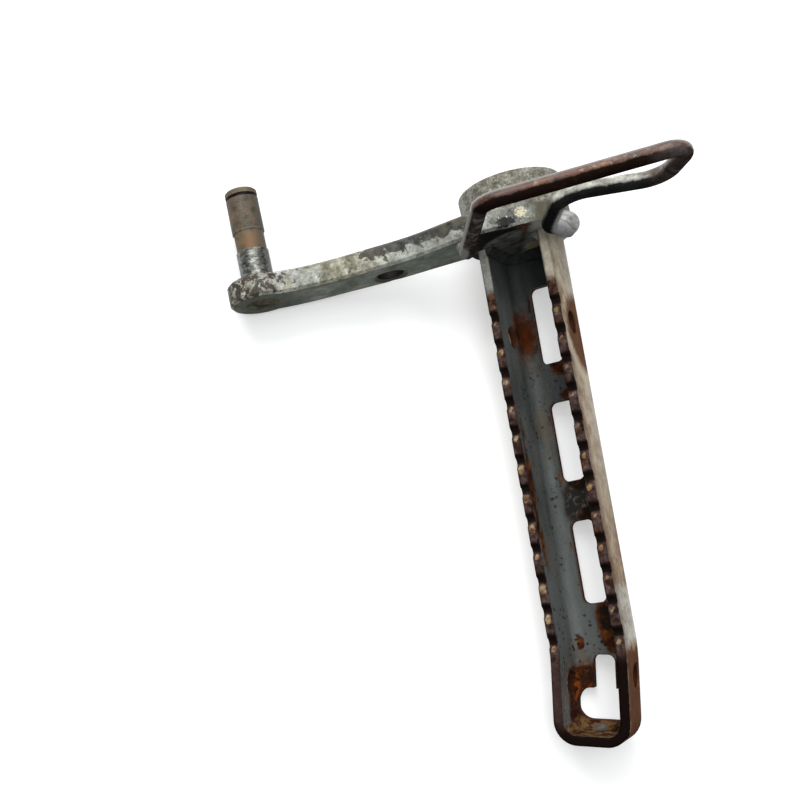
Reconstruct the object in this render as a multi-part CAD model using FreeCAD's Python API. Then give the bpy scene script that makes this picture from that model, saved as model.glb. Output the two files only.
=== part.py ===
import FreeCAD, Part
import math
import os

# Footpeg on a lever arm. Millimetres.
# X runs along the arm from the pivot pin to the boss, Y along the pin and away from the tread,
# Z up. The origin is on the pin's axis where the pin leaves the arm.

# Pivot pin: turned, riveted into the arm's small end
pin_d = 12.0
pin_base_land = 11.7
pin_relief = 7.7
pin_outer_land = 13.2
pin_groove = 1.2
pin_end_disc = 2.2
pin_relief_depth = 0.45
pin_groove_depth = 0.9
pin_end_chamfer = 0.6
spigot_d = 9.0
rivet_d = 12.0
rivet_depth = 1.6

# Arm: one forging with a small eye, a tapering bar and a round boss
centre_distance = 97.0
boss_rise = 10.0
boss_d = 38.6
boss_inboard = 12.2
boss_edge = 1.6
eye_d = 23.6
bar_t = 8.5
bar_edge = 1.0
bar_top = [(0.28, 9.8), (0.43, 13.2), (0.58, 17.2), (0.69, 22.6), (0.79, 27.4)]
bar_bottom = [(0.20, -10.6), (0.36, -8.2), (0.50, -6.2), (0.62, -3.2)]
hole_d = 10.0
hole_along = 48.3
hole_rise = 0.9
hole_sink_d = 13.0
hole_sink_depth = 0.9

# Tread: pressed sheet trough with scalloped rims
sheet_t = 3.2
tread_w = 26.5
tread_h = 26.0
tread_l = 177.6
bend_r = 7.0
tip_corner_r = 8.0
tread_x = 92.2
tread_roll = 28.0
tread_taper = 1.65
tread_sweep = 3.3
tip_turn = 8.0
tip_turn_at = 147.0
tip_turn_r = 60.0
rim_edge = 0.7
scallop_r = 2.4
scallop_depth = 1.8
scallop_shoulder = 1.3
scallop_lift = 0.05
scallop_first = 26.5
scallop_pitch = 10.5
scallop_count = 12
window_l = 29.5
window_w = 9.0
window_r = 2.5
window_first = 28.6
window_pitch = 44.1
window_count = 3
slot_stem_w = 8.0
slot_stem_l = 11.5
slot_bar_w = 19.6
slot_bar_l = 11.0
slot_bar_r = 4.6
slot_to_tip = 5.6
side_hole_d = 8.6
side_hole_depth = 12.0
side_holes = [32.5, 157.0]
tread_weld_leg = 3.4

# Boot guard: bent round rod standing against the near faces of bar and boss
rod_d = 5.5
guard_gap = 0.3
guard_path = [
    (75.0, 20.5), (76.6, 66.8), (141.8, 80.8), (138.2, 56.0), (103.6, 60.2), (103.2, 31.5), (112.0, 21.5),
]
guard_bends = [6.5, 6.0, 8.0, 8.0, 7.0]
guard_weld_r = [3.3, 4.4]
guard_weld_l = 1.2
guard_weld_lift = 0.6

# Sizes that follow from those above
pin_r = pin_d / 2
pin_total = pin_base_land + pin_relief + pin_outer_land + pin_groove + pin_end_disc
near_face = -bar_t
eye_r = eye_d / 2
boss_r = boss_d / 2
rod_r = rod_d / 2
roll = math.radians(tread_roll)
taper_slope = math.tan(math.radians(tread_taper))
tread_droop = math.degrees(math.atan(taper_slope * math.cos(roll)))
underside = (tread_w / 2 - bend_r) * math.sin(roll) + (tread_h - bend_r) * math.cos(roll) + bend_r
rim_rise = underside - eye_r
guard_y = near_face - guard_gap - rod_r
overlap = 10.0
pick = 0.01

X_AXIS = FreeCAD.Vector(1, 0, 0)
Y_AXIS = FreeCAD.Vector(0, 1, 0)
Z_AXIS = FreeCAD.Vector(0, 0, 1)


def v(x, y, z):
    return FreeCAD.Vector(x, y, z)


def disc_y(radius, y_from, y_to, x=0.0, z=0.0):
    """Cylinder along Y between two y values."""
    return Part.makeCylinder(radius, y_to - y_from, v(x, y_from, z), Y_AXIS)


def revolve_y(profile):
    """Solid of revolution about Y from (y, radius) points."""
    points = [v(r, y, 0) for y, r in profile]
    points.append(points[0])
    return Part.Face(Part.makePolygon(points)).revolve(v(0, 0, 0), Y_AXIS, 360)


def on_circle(x, z, radius, degrees, y=0.0):
    angle = math.radians(degrees)
    return v(x + radius * math.cos(angle), y, z + radius * math.sin(angle))


def spline(points):
    curve = Part.BSplineCurve()
    curve.interpolate(points)
    return curve.toShape()


def make_pin():
    """Stepped pin: two lands with a relief between, a clip groove and an end disc."""
    relief_r = pin_r - pin_relief_depth
    groove_r = pin_r - pin_groove_depth
    y_relief = pin_base_land
    y_outer = y_relief + pin_relief
    y_groove = y_outer + pin_outer_land
    y_disc = y_groove + pin_groove
    profile = [
        (near_face, 0), (near_face, rivet_d / 2), (near_face + rivet_depth, spigot_d / 2),
        (0, spigot_d / 2), (0, pin_r),
        (y_relief, pin_r), (y_relief, relief_r), (y_outer, relief_r), (y_outer, pin_r),
        (y_groove, pin_r), (y_groove, groove_r), (y_disc, groove_r), (y_disc, pin_r),
        (pin_total - pin_end_chamfer, pin_r), (pin_total, pin_r - pin_end_chamfer), (pin_total, 0),
    ]
    return revolve_y(profile)


def make_bar():
    """Flat tapering bar between eye and boss, its long edges broken."""
    top_start = on_circle(0, 0, eye_r - bar_edge, 75)
    top_end = on_circle(centre_distance, boss_rise, boss_r - bar_edge, 105)
    bottom_start = on_circle(0, 0, eye_r - bar_edge, -75)
    bottom_end = on_circle(centre_distance, boss_rise, boss_r - bar_edge, 205)
    top = [top_start] + [v(f * centre_distance, 0, z) for f, z in bar_top] + [top_end]
    bottom = [bottom_start] + [v(f * centre_distance, 0, z) for f, z in bar_bottom] + [bottom_end]
    outline = Part.Wire([
        spline(top),
        Part.makeLine(top_end, bottom_end),
        spline(bottom[::-1]),
        Part.makeLine(bottom_start, top_start),
    ])
    bar = Part.Face(outline).extrude(v(0, near_face, 0))
    long_edges = [e for e in bar.Edges if isinstance(e.Curve, Part.BSplineCurve)]
    return bar.makeChamfer(bar_edge, long_edges)


def make_arm():
    """Forged arm: eye, bar and boss in one, bored for the pin and for a link."""
    eye = disc_y(eye_r, near_face, 0)
    eye = eye.makeChamfer(bar_edge, [e for e in eye.Edges if isinstance(e.Curve, Part.Circle)])
    boss = disc_y(boss_r, near_face, boss_inboard, centre_distance, boss_rise)
    far_rim = [e for e in boss.Edges if isinstance(e.Curve, Part.Circle) and e.Curve.Center.y > 0]
    boss = boss.makeFillet(boss_edge, far_rim)
    arm = make_bar().multiFuse([eye, boss]).removeSplitter()

    spigot = disc_y(spigot_d / 2, near_face, 0)
    sink = Part.makeCone(rivet_d / 2, spigot_d / 2, rivet_depth, v(0, near_face, 0), Y_AXIS)
    hole = disc_y(hole_d / 2, near_face - 1, 1, hole_along, hole_rise)
    dish = Part.makeCone(
        hole_sink_d / 2, hole_d / 2, hole_sink_depth, v(hole_along, near_face, hole_rise), Y_AXIS
    )
    return arm.cut(spigot.multiFuse([sink, hole, dish]))


def tread_plan(inset):
    """Outline of the trough seen from above, drawn in by inset; its tip turns to one side."""
    half = tread_w / 2 - inset
    corner = tip_corner_r - inset
    turn = math.radians(tip_turn)
    y_turn = -(tip_turn_at - tip_turn_r * math.tan(turn / 2))
    tip_end = tread_l + y_turn - tip_turn_r * turn - inset

    def bent(side, angle):
        radius = tip_turn_r + side
        return v(radius * math.cos(angle) - tip_turn_r, y_turn - radius * math.sin(angle), 0)

    def tip(side, along):
        step = v(-math.sin(turn), -math.cos(turn), 0)
        return bent(side, turn) + step * along

    inner = half - corner
    diagonal = corner * math.sqrt(0.5)
    edges = []
    for side in (1, -1):
        edges += [
            Part.makeLine(v(side * half, overlap, 0), bent(side * half, 0)),
            Part.Arc(bent(side * half, 0), bent(side * half, turn / 2), bent(side * half, turn)).toShape(),
            Part.makeLine(tip(side * half, 0), tip(side * half, tip_end - corner)),
            Part.Arc(
                tip(side * half, tip_end - corner),
                tip(side * (inner + diagonal), tip_end - corner + diagonal),
                tip(side * inner, tip_end),
            ).toShape(),
        ]
    edges.append(Part.makeLine(tip(inner, tip_end), tip(-inner, tip_end)))
    edges.append(Part.makeLine(v(half, overlap, 0), v(-half, overlap, 0)))
    return Part.Wire(Part.__sortEdges__(edges))


def trough(inset):
    """Solid trough below the rim plane: floor rising towards the tip, its edge rounded."""
    depth = tread_h - inset
    block = Part.Face(tread_plan(inset)).extrude(v(0, 0, -depth - overlap))
    below = Part.makeBox(
        2 * tread_w, 2 * tread_l, tread_h, v(-tread_w, 2 * overlap - 2 * tread_l, -depth - tread_h)
    )
    below.rotate(v(0, 0, -depth), X_AXIS, -tread_taper)
    block = block.cut(below)

    def on_floor(edge):
        return all(abs(p.Z + depth + p.Y * taper_slope) < pick for p in edge.Vertexes)

    floor_edges = [e for e in block.Edges if on_floor(e) and e.BoundBox.YMin < overlap - pick]
    return block.makeFillet(bend_r - inset, floor_edges)


def serration(y):
    """Cutter for one notch in both rims: a round hollow with worn shoulders."""
    hollow_z = scallop_r - scallop_depth
    shoulder_z = scallop_lift - scallop_shoulder
    reach = scallop_r + scallop_shoulder
    half = math.sqrt(reach ** 2 - (hollow_z - shoulder_z) ** 2)
    meet = scallop_r / reach
    meet_y = half * meet
    meet_z = hollow_z + (shoulder_z - hollow_z) * meet
    steep = math.atan2(half - meet_y, meet_z - shoulder_z) / 2
    crown_y = half - scallop_shoulder * math.sin(steep)
    crown_z = shoulder_z + scallop_shoulder * math.cos(steep)

    def at(across, z):
        return v(-tread_w, y + across, z)

    edges = [
        Part.Arc(at(-half, scallop_lift), at(-crown_y, crown_z), at(-meet_y, meet_z)).toShape(),
        Part.Arc(at(-meet_y, meet_z), at(0, -scallop_depth), at(meet_y, meet_z)).toShape(),
        Part.Arc(at(meet_y, meet_z), at(crown_y, crown_z), at(half, scallop_lift)).toShape(),
        Part.makeLine(at(half, scallop_lift), at(half, overlap)),
        Part.makeLine(at(half, overlap), at(-half, overlap)),
        Part.makeLine(at(-half, overlap), at(-half, scallop_lift)),
    ]
    return Part.Face(Part.Wire(edges)).extrude(v(2 * tread_w, 0, 0))


def rounded_cut(width, length, radius, y_mid):
    """Rounded rectangle running right through the trough's floor."""
    box = Part.makeBox(width, length, tread_h, v(-width / 2, y_mid - length / 2, -1.2 * tread_h))
    upright = [e for e in box.Edges if e.BoundBox.ZLength > tread_h / 2]
    return box.makeFillet(radius, upright)


def tip_slot():
    """T-shaped opening at the tip, turned with it."""
    bar_mid = slot_to_tip + slot_bar_l / 2 - tread_l
    bar = rounded_cut(slot_bar_w, slot_bar_l, slot_bar_r, bar_mid)
    stem_l = slot_stem_l + slot_bar_l / 2
    stem = rounded_cut(slot_stem_w, stem_l, window_r, bar_mid + stem_l / 2)
    slot = bar.fuse(stem)
    slot.rotate(v(0, -tip_turn_at, 0), Z_AXIS, -tip_turn)
    return slot


def place_tread(shape):
    """Set a shape drawn about the rim plane onto the boss's near face, rolled and swept."""
    droop = FreeCAD.Rotation(X_AXIS, tread_droop)
    turn = FreeCAD.Rotation(Z_AXIS, -tread_sweep) * droop * FreeCAD.Rotation(Y_AXIS, -tread_roll)
    placed = shape.copy()
    placed.Placement = FreeCAD.Placement(v(tread_x, near_face, rim_rise), turn)
    return placed


def make_tread():
    """Pressed trough with scalloped rims, floor windows, tip slot and side holes."""
    pressing = trough(0).cut(trough(sheet_t))
    rims = [e for e in pressing.Edges if abs(e.BoundBox.ZMin) < pick and e.BoundBox.YMin < overlap - pick]
    pressing = pressing.makeChamfer(rim_edge, rims)
    cutters = [serration(-(scallop_first + i * scallop_pitch)) for i in range(scallop_count)]
    for i in range(window_count):
        y = -(window_first + i * window_pitch)
        cutters.append(rounded_cut(window_w, window_l, window_r, y))
    for along in side_holes:
        start = v(-tread_w, -along, -side_hole_depth)
        cutters.append(Part.makeCylinder(side_hole_d / 2, 2 * tread_w, start, X_AXIS))
    cutters.append(tip_slot())
    pressing = place_tread(pressing.cut(cutters))
    reach = 2 * tread_w
    beyond = Part.makeBox(2 * reach, 3 * overlap, 2 * reach, v(tread_x - reach, near_face, -reach))
    return pressing.cut(beyond)


def weld_opening(y, inset):
    """Section of the trough's inside, open above its rims and drawn in by inset."""
    half = tread_w / 2 - sheet_t - inset
    floor = sheet_t + inset - tread_h
    corner = bend_r - sheet_t
    diagonal = corner * math.sqrt(0.5)
    edges = [Part.makeLine(v(-half, y, overlap), v(half, y, overlap))]
    for side in (1, -1):
        edges += [
            Part.makeLine(v(side * half, y, overlap), v(side * half, y, floor + corner)),
            Part.Arc(
                v(side * half, y, floor + corner),
                v(side * (half - corner + diagonal), y, floor + corner - diagonal),
                v(side * (half - corner), y, floor),
            ).toShape(),
        ]
    edges.append(Part.makeLine(v(half - corner, y, floor), v(corner - half, y, floor)))
    return Part.Wire(Part.__sortEdges__(edges))


def make_tread_weld(arm):
    """Fillet weld round the inside of the trough where it meets the boss."""
    inboard = tread_weld_leg / 2
    length = tread_weld_leg + inboard
    slab = Part.makeBox(2 * tread_w, length, 2 * tread_h, v(-tread_w, -tread_weld_leg, -1.5 * tread_h))
    mouth = [weld_opening(-tread_weld_leg, 0), weld_opening(inboard, length)]
    bead = trough(sheet_t).common(slab).cut(Part.makeLoft(mouth, True, True))
    return place_tread(bead).cut(arm)


def rod_path(points, bends):
    """Wire through the points in the X-Z plane with a tangent arc at each inner corner."""
    corners = [v(x, guard_y, z) for x, z in points]
    edges = []
    start = corners[0]
    for before, corner, after, radius in zip(corners, corners[1:], corners[2:], bends):
        back = (before - corner).normalize()
        ahead = (after - corner).normalize()
        half_angle = back.getAngle(ahead) / 2
        trim = radius / math.tan(half_angle)
        middle = (back + ahead).normalize()
        first = corner + back * trim
        last = corner + ahead * trim
        crown = corner + middle * (radius / math.sin(half_angle) - radius)
        edges.append(Part.makeLine(start, first))
        edges.append(Part.Arc(first, crown, last).toShape())
        start = last
    edges.append(Part.makeLine(start, corners[-1]))
    return Part.Wire(edges)


def make_guard():
    """Rod swept along its bent path."""
    path = rod_path(guard_path, guard_bends)
    foot = v(guard_path[0][0], guard_y, guard_path[0][1])
    along = v(guard_path[1][0], guard_y, guard_path[1][1]) - foot
    section = Part.Wire(Part.makeCircle(rod_r, foot, along))
    return path.makePipeShell([section], True, True)


def make_guard_weld(radius, foot, above, neighbours):
    """Mound of weld round a foot of the rod, lying on the face the rod stands against."""
    low = v(foot[0], near_face - guard_weld_lift, foot[1])
    high = v(above[0], near_face - guard_weld_lift, above[1])
    along = (high - low).normalize()
    mound = Part.makeCylinder(radius, guard_weld_l, low, along)
    ends = [Part.makeSphere(radius, low), Part.makeSphere(radius, low + along * guard_weld_l)]
    return mound.multiFuse(ends).removeSplitter().cut(neighbours)


def build():
    arm = make_arm()
    tread = make_tread()
    guard = make_guard()
    tread_weld = make_tread_weld(arm)
    fixed = [arm, tread, tread_weld, guard]
    return {
        "arm": arm,
        "pivot_pin": make_pin(),
        "tread": tread,
        "tread_weld": tread_weld,
        "boot_guard": guard,
        "guard_weld_arm": make_guard_weld(guard_weld_r[0], guard_path[0], guard_path[1], fixed),
        "guard_weld_boss": make_guard_weld(guard_weld_r[1], guard_path[-1], guard_path[-2], fixed),
    }


os.makedirs("parts", exist_ok=True)
for name, shape in build().items():
    shape.exportStep("parts/" + name + ".step")
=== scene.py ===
import math

import bmesh
import bpy
from mathutils import Matrix, Vector


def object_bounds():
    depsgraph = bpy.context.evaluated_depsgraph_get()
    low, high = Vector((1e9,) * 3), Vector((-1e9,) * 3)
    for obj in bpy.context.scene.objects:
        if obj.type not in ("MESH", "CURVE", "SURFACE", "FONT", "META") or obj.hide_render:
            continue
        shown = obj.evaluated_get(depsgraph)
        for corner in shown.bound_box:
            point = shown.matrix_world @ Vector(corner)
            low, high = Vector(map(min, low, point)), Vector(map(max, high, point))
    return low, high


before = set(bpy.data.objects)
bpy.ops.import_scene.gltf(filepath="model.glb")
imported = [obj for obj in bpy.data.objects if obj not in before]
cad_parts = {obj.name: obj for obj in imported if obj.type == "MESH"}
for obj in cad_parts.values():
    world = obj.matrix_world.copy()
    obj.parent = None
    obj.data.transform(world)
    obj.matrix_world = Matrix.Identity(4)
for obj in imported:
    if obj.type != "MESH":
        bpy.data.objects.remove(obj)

cad_low, cad_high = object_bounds()

# Arm
# One steel forging with a small eye, a flat bar and a round boss, once sprayed silver.
# The paint has flaked to dark steel along the far edge and gone olive and brown by the eye.

mm = 0.001
boss_x, boss_z = 97.0, 10.0
hole_x, hole_z, hole_r = 48.3, 0.9, 5.0
edge_samples = 6


class Nodes:
    """Short calls for building one node tree, in a material or in a shared effect."""

    def __init__(self, tree):
        self.tree = tree

    def add(self, kind, inputs=None, **settings):
        node = self.tree.nodes.new(kind)
        for name, value in settings.items():
            setattr(node, name, value)
        for name, value in (inputs or {}).items():
            self.feed(node.inputs[name], value)
        return node

    def feed(self, socket, value):
        if isinstance(value, bpy.types.NodeSocket):
            self.tree.links.new(value, socket)
        elif isinstance(value, tuple) and len(value) == 3 and socket.type == "RGBA":
            socket.default_value = (*value, 1.0)
        else:
            socket.default_value = value

    def place(self):
        return self.add("ShaderNodeTexCoord").outputs["Object"]

    def normal(self):
        return self.add("ShaderNodeNewGeometry").outputs["Normal"]

    def facing(self):
        """The surface normal's X, Y and Z."""
        return self.add("ShaderNodeSeparateXYZ", {0: self.normal()}).outputs

    def dot(self, first, second):
        node = self.add("ShaderNodeVectorMath", {0: first, 1: second}, operation="DOT_PRODUCT")
        return node.outputs["Value"]

    def calc(self, operation, a, b=0.0):
        return self.add("ShaderNodeMath", {0: a, 1: b}, operation=operation).outputs[0]

    def times(self, value, by):
        return self.calc("MULTIPLY", value, by)

    def shift(self, value, by, share=1.0):
        """A value moved by another, or by a share of it."""
        return self.calc("ADD", value, by if share == 1.0 else self.times(by, share))

    def sum(self, *parts):
        """Total of (value, share) pairs."""
        total = None
        for value, share in parts:
            part = self.times(value, share)
            total = part if total is None else self.shift(total, part)
        return total

    def all_of(self, *masks):
        total = masks[0]
        for mask in masks[1:]:
            total = self.times(total, mask)
        return total

    def any_of(self, *masks):
        total = masks[0]
        for mask in masks[1:]:
            total = self.calc("MAXIMUM", total, mask)
        return total

    def but(self, mask):
        return self.calc("SUBTRACT", 1.0, mask)

    def span(self, value, low, high):
        """0 at low, 1 at high, eased between."""
        ends = {"Value": value, "From Min": low, "From Max": high}
        return self.add("ShaderNodeMapRange", ends, interpolation_type="SMOOTHSTEP").outputs["Result"]

    def band(self, value, low, high, soft):
        """1 between low and high, fading over soft at both ends."""
        rise = self.span(value, low - soft, low + soft)
        return self.all_of(rise, self.span(value, high + soft, high - soft))

    def oval(self, first, second, ragged, soft=0.35):
        """Oval mask from two (value, middle, half width) triples, its border broken up by ragged."""
        reach = ragged
        for value, middle, half in (first, second):
            away = self.calc("DIVIDE", self.calc("SUBTRACT", value, middle), half)
            reach = self.shift(reach, self.times(away, away))
        return self.span(reach, 1 + soft, 1 - soft)

    def distance(self, first, second):
        """Distance from a point, given as two (value, middle) pairs."""
        pairs = (first, second)
        squares = [self.calc("POWER", self.shift(value, -middle), 2.0) for value, middle in pairs]
        return self.calc("SQRT", self.shift(*squares))

    def along(self, place, origin, direction):
        """Distance in millimetres from origin along a direction."""
        start = self.add("ShaderNodeVectorMath", {0: place, 1: origin}, operation="SUBTRACT").outputs[0]
        return self.dot(start, Vector(direction).normalized() / mm)

    def noise(self, place, size, detail=4.0, rough=0.55):
        """Cloudy pattern whose patches are about size millimetres wide."""
        inputs = {"Vector": place, "Scale": 1 / (size * mm), "Detail": detail, "Roughness": rough}
        return self.add("ShaderNodeTexNoise", inputs).outputs["Fac"]

    def wobble(self, place, size, by):
        """Pattern that swings about zero, to shift a border."""
        return self.times(self.calc("SUBTRACT", self.noise(place, size, 5, 0.65), 0.5), by)

    def scaled(self, place, fineness):
        """Coordinates for a pattern with so many patches in a millimetre."""
        inputs = {0: place, "Scale": fineness}
        return self.add("ShaderNodeVectorMath", inputs, operation="SCALE").outputs[0]

    def stretched(self, place, turn, stretch):
        """Coordinates turned and squeezed, for a pattern that is drawn out one way."""
        inputs = {"Vector": place, "Rotation": turn, "Scale": stretch}
        return self.add("ShaderNodeMapping", inputs).outputs[0]

    def mix(self, mask, under, over, share=1.0):
        """One colour laid over another, at a share of its strength."""
        strength = mask if share == 1.0 else self.times(mask, share)
        node = self.add("ShaderNodeMix", data_type="RGBA")
        for socket, value in ((0, strength), (6, under), (7, over)):
            self.feed(node.inputs[socket], value)
        return node.outputs[2]

    def blend(self, mask, low, high):
        """A value going from low to high."""
        node = self.add("ShaderNodeMix")
        for socket, value in ((0, mask), (2, low), (3, high)):
            self.feed(node.inputs[socket], value)
        return node.outputs[0]

    def ramp(self, value, *stops):
        """Colours along a value, as (position, colour) stops."""
        node = self.add("ShaderNodeValToRGB", {"Fac": value})
        elements = node.color_ramp.elements
        while len(elements) < len(stops):
            elements.new(0.5)
        for element, (position, colour) in zip(elements, stops):
            element.position = position
            element.color = (*colour, 1.0)
        return node.outputs["Color"]

    def effect(self, group, **inputs):
        node = self.add("ShaderNodeGroup", node_tree=group)
        for name, value in inputs.items():
            self.feed(node.inputs[name.capitalize()], value)
        return node.outputs

    def relief(self, shader, height, depth, strength, edge=0.0):
        """Bump from a height pattern, over edges rounded by edge millimetres."""
        inputs = {"Height": height, "Strength": strength, "Distance": depth * mm}
        if edge:
            bevel = self.add("ShaderNodeBevel", {"Radius": edge * mm}, samples=edge_samples)
            inputs["Normal"] = bevel.outputs[0]
        self.feed(shader.inputs["Normal"], self.add("ShaderNodeBump", inputs).outputs[0])


def new_effect(name, inputs, outputs):
    """Shared effect with named sockets; gives its node maker, its inputs and its output sockets."""
    tree = bpy.data.node_groups.new(name, "ShaderNodeTree")
    kinds = {"vector": "NodeSocketVector", "value": "NodeSocketFloat", "colour": "NodeSocketColor"}
    for socket, kind in inputs.items():
        tree.interface.new_socket(socket, in_out="INPUT", socket_type=kinds[kind])
    for socket, kind in outputs.items():
        tree.interface.new_socket(socket, in_out="OUTPUT", socket_type=kinds[kind])
    n = Nodes(tree)
    return n, n.add("NodeGroupInput").outputs, n.add("NodeGroupOutput").inputs


def new_finish(name):
    """Material with a Principled shader; gives the material, its node maker and the shader."""
    material = bpy.data.materials.new(name)
    material.use_nodes = True
    material.node_tree.nodes.clear()
    n = Nodes(material.node_tree)
    shader = n.add("ShaderNodeBsdfPrincipled")
    n.add("ShaderNodeOutputMaterial", {"Surface": shader.outputs[0]})
    return material, n, shader


# Rust: clouds of near black, red-brown and orange, in patches whose spread is set by Amount.
rust_tones = (
    (0.36, (0.010, 0.005, 0.004)), (0.47, (0.042, 0.013, 0.006)), (0.57, (0.108, 0.032, 0.008)),
    (0.70, (0.235, 0.085, 0.020)))
n, given, out = new_effect(
    "Rust", {"Place": "vector", "Amount": "value", "Fineness": "value"},
    {"Colour": "colour", "Mask": "value", "Height": "value"})
grain = n.scaled(given["Place"], given["Fineness"])
inputs = {"Vector": grain, "Scale": 1 / mm, "Detail": 5.0, "Roughness": 0.6}
cloud = n.add("ShaderNodeTexNoise", inputs).outputs["Fac"]
fine = n.noise(given["Place"], 0.9, 4, 0.65)
hue = n.noise(given["Place"], 4.5, 5, 0.62)
border = n.blend(given["Amount"], 0.75, 0.25)
over = n.calc("SUBTRACT", n.sum((cloud, 0.78), (fine, 0.22)), border)
n.feed(out["Mask"], n.span(over, -0.03, 0.04))
n.feed(out["Colour"], n.ramp(n.sum((hue, 0.7), (fine, 0.3)), *rust_tones))
n.feed(out["Height"], n.sum((fine, 0.7), (hue, 0.3)))
rust_effect = n.tree

# Chips: paint left in flakes, with a lip where it breaks off.
n, given, out = new_effect(
    "Paint chips", {"Place": "vector", "Amount": "value", "Fineness": "value"},
    {"Mask": "value", "Height": "value"})
grain = n.scaled(given["Place"], given["Fineness"])
inputs = {"Vector": grain, "Scale": 1 / mm, "Detail": 6.0, "Roughness": 0.6, "Distortion": 0.5}
flake = n.add("ShaderNodeTexNoise", inputs).outputs["Fac"]
left = n.calc("SUBTRACT", n.blend(given["Amount"], 0.25, 0.75), flake)
n.feed(out["Mask"], n.span(left, -0.018, 0.022))
n.feed(out["Height"], n.span(left, -0.03, 0.04))
chip_effect = n.tree

# Edge wear: found where the rounded normal leaves the true one.
n, given, out = new_effect(
    "Edge wear", {"Place": "vector", "Radius": "value", "Amount": "value"}, {"Mask": "value"})
rounded = n.add("ShaderNodeBevel", {"Radius": given["Radius"]}, samples=edge_samples).outputs["Normal"]
turned = n.dot(rounded, n.normal())
patchy = n.times(n.noise(given["Place"], 2.2, 5, 0.65), 2.0)
n.feed(out["Mask"], n.span(n.all_of(n.but(turned), patchy, given["Amount"]), 0.02, 0.16))
edge_effect = n.tree

steel_tones = ((0.34, (0.016, 0.017, 0.014)), (0.5, (0.052, 0.055, 0.047)), (0.66, (0.125, 0.130, 0.115)))
silver_tones = ((0.36, (0.145, 0.152, 0.134)), (0.5, (0.295, 0.307, 0.274)), (0.63, (0.50, 0.515, 0.465)))
olive_tones = ((0.37, (0.085, 0.078, 0.048)), (0.49, (0.20, 0.190, 0.13)), (0.62, (0.41, 0.40, 0.32)))
face_tones = ((0.36, (0.078, 0.090, 0.074)), (0.5, (0.165, 0.184, 0.158)), (0.64, (0.29, 0.31, 0.27)))
boss_tones = ((0.39, (0.046, 0.042, 0.030)), (0.49, (0.148, 0.142, 0.112)), (0.60, (0.305, 0.300, 0.250)))
shelf_tones = ((0.38, (0.034, 0.036, 0.029)), (0.5, (0.135, 0.142, 0.123)), (0.64, (0.31, 0.32, 0.28)))
chip_tones = ((0.40, (0.20, 0.185, 0.125)), (0.52, (0.55, 0.515, 0.37)))
back_tones = ((0.36, (0.050, 0.055, 0.050)), (0.60, (0.15, 0.158, 0.145)))
warm_steel = (0.075, 0.066, 0.044)
olive_stain = (0.105, 0.092, 0.062)
dulled_silver = (0.15, 0.148, 0.124)
chip_brown = (0.017, 0.013, 0.009)
dirt_and_shade_green = (0.074, 0.079, 0.062)
boss_tan = (0.13, 0.112, 0.078)
boss_end = (0.155, 0.148, 0.122)
shelf_brown = (0.072, 0.060, 0.035)
blot_black = (0.005, 0.007, 0.006)
back_pale = (0.36, 0.365, 0.33)
back_cream = (0.60, 0.50, 0.32)
rim_shadow_black = (0.008, 0.008, 0.007)
run_dark = (0.050, 0.016, 0.006)
run_light = (0.135, 0.045, 0.014)
dish_olive = (0.075, 0.072, 0.056)
bore_shade_black = (0.012, 0.010, 0.008)
near_edge_shadow_line = (0.026, 0.026, 0.021)
near_edge_wear_and_highlight = (0.40, 0.41, 0.365)
far_edge_dark = (0.04, 0.042, 0.036)

arm_finish, n, shader = new_finish("chipped silver paint on forged steel")
place = n.place()
x = n.along(place, (0, 0, 0), (1, 0, 0))
y = n.along(place, (0, 0, 0), (0, 1, 0))
z = n.along(place, (0, 0, 0), (0, 0, 1))
facing = n.facing()
ragged = n.wobble(place, 3.0, 1.6)
cloud = n.noise(place, 6.0, 4, 0.6)

# bare steel, and the paint that is left on it: cool silver, olive towards the eye
mottle = n.noise(place, 2.6, 6, 0.7)
steel = n.ramp(mottle, *steel_tones)
paint_tone = n.sum((n.noise(place, 3.4, 4, 0.58), 0.66), (n.noise(place, 1.0, 3, 0.6), 0.34))
silver = n.ramp(paint_tone, *silver_tones)
olive = n.ramp(paint_tone, *olive_tones)
warmth = n.all_of(n.span(x, 56, 34), n.span(n.shift(cloud, n.span(x, 22, 30)), 0.40, 0.62), 0.9)
steel = n.mix(warmth, steel, warm_steel, 0.7)
by_boss = n.all_of(n.span(n.shift(x, ragged, 4), 60, 72), n.span(cloud, 0.42, 0.56), 0.75)
steel = n.mix(by_boss, steel, olive_stain)
bared = n.all_of(n.band(n.shift(x, ragged), 40, 84, 8), n.span(n.shift(y, n.span(x, 52, 76)), -7.5, -1.0))
flakes = n.effect(chip_effect, place=place, amount=n.blend(bared, 0.72, 0.20), fineness=1 / 3.6)
pits = n.effect(chip_effect, place=place, amount=0.80, fineness=1 / 2.2)
painted = n.all_of(flakes["Mask"], n.blend(pits["Mask"], 0.25, 1.0))
silver = n.mix(n.all_of(n.span(x, 50, 66), n.span(cloud, 0.40, 0.56)), silver, dulled_silver, 0.6)
colour = n.mix(painted, steel, n.mix(warmth, silver, olive))

# brown chips round the eye
eye_rust = n.effect(
    rust_effect, place=place, amount=n.blend(n.span(x, 18, 2), 0.14, 0.555), fineness=1 / 2.6)
colour = n.mix(eye_rust["Mask"], colour, n.mix(0.8, eye_rust["Colour"], chip_brown), 0.92)

# near and far faces keep a thin, smooth, dirty coat; the darkening under the upper edge is painted shade,
# and the same dark green covers the faces round the eye
flat = n.span(n.calc("ABSOLUTE", facing["Y"]), 0.72, 0.92)
face_tone = n.sum((n.noise(place, 9, 5, 0.6), 0.75), (mottle, 0.25))
face_coat = n.ramp(face_tone, *face_tones)
upper_edge = n.shift(n.times(n.calc("MAXIMUM", n.shift(x, -26.0), 0.0), 0.36), 10.5)
shade_under_edge = n.span(n.calc("SUBTRACT", upper_edge, n.shift(z, ragged)), 7.0, 0.5)
face_coat = n.mix(n.any_of(shade_under_edge, n.span(x, 20, 9)), face_coat, dirt_and_shade_green, 0.85)
colour = n.mix(flat, colour, face_coat, 0.9)

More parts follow.
